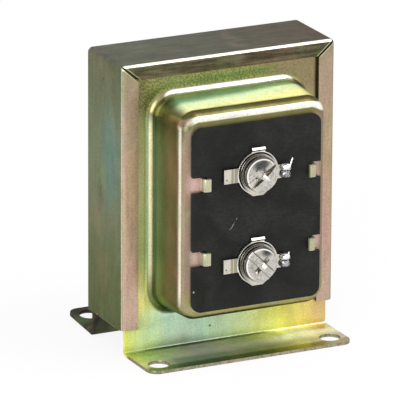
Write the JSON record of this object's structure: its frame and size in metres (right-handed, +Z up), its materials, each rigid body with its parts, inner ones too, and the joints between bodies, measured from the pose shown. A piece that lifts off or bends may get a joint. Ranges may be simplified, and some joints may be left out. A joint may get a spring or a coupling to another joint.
{
  "type": "lighting transformer",
  "caption": "Laminated-core low-voltage transformer in a folded steel case with drawn pans, turned-out mounting feet and a terminal board with screw terminals.",
  "frame": {"origin": "centre of the whole outline, at the sole of the front foot", "axes": "+Z up, the terminal board faces -Y, +X along the feet to the right as seen from the terminals"},
  "size_m": [0.058, 0.0535, 0.0744],
  "materials": {
    "yellow_zinc_band": "iridescent yellow zinc plating",
    "yellow_zinc_front": "iridescent yellow zinc plating",
    "yellow_zinc_rear": "iridescent yellow zinc plating",
    "black_fibre": "matt",
    "nickel_plate": "bright nickel plating",
    "nickel_screw": "bright nickel plating",
    "solder": "bright",
    "silicon_steel": "matt",
    "silicon_steel_bar": "matt",
    "natural_nylon": "satin",
    "primary_enamel": "enamelled copper wire",
    "yellow_tape": "glossy",
    "secondary_enamel": "enamelled copper wire",
    "white_tape": "satin",
    "fish_paper": "matt",
    "tinned_wire": "tinned copper wire",
    "glass_sleeving": "matt"
  },
  "bodies": {
    "root": {"case_band": "yellow_zinc_band", "front_cover": "yellow_zinc_front", "rear_cover": "yellow_zinc_rear", "terminal_board": "black_fibre", "upper_terminal_plate": "nickel_plate", "lower_terminal_plate": "nickel_plate", "upper_terminal_screw": "nickel_screw", "lower_terminal_screw": "nickel_screw", "upper_solder_joint": "solder", "lower_solder_joint": "solder", "core_e_stack": "silicon_steel", "core_i_stack": "silicon_steel_bar", "bobbin": "natural_nylon", "primary_winding": "primary_enamel", "interwinding_tape": "yellow_tape", "secondary_winding": "secondary_enamel", "outer_wrap": "white_tape", "front_liner": "fish_paper", "rear_liner": "fish_paper", "upper_secondary_lead": "tinned_wire", "lower_secondary_lead": "tinned_wire", "upper_lead_sleeve": "glass_sleeving", "lower_lead_sleeve": "glass_sleeving"}
  },
  "joints": []
}
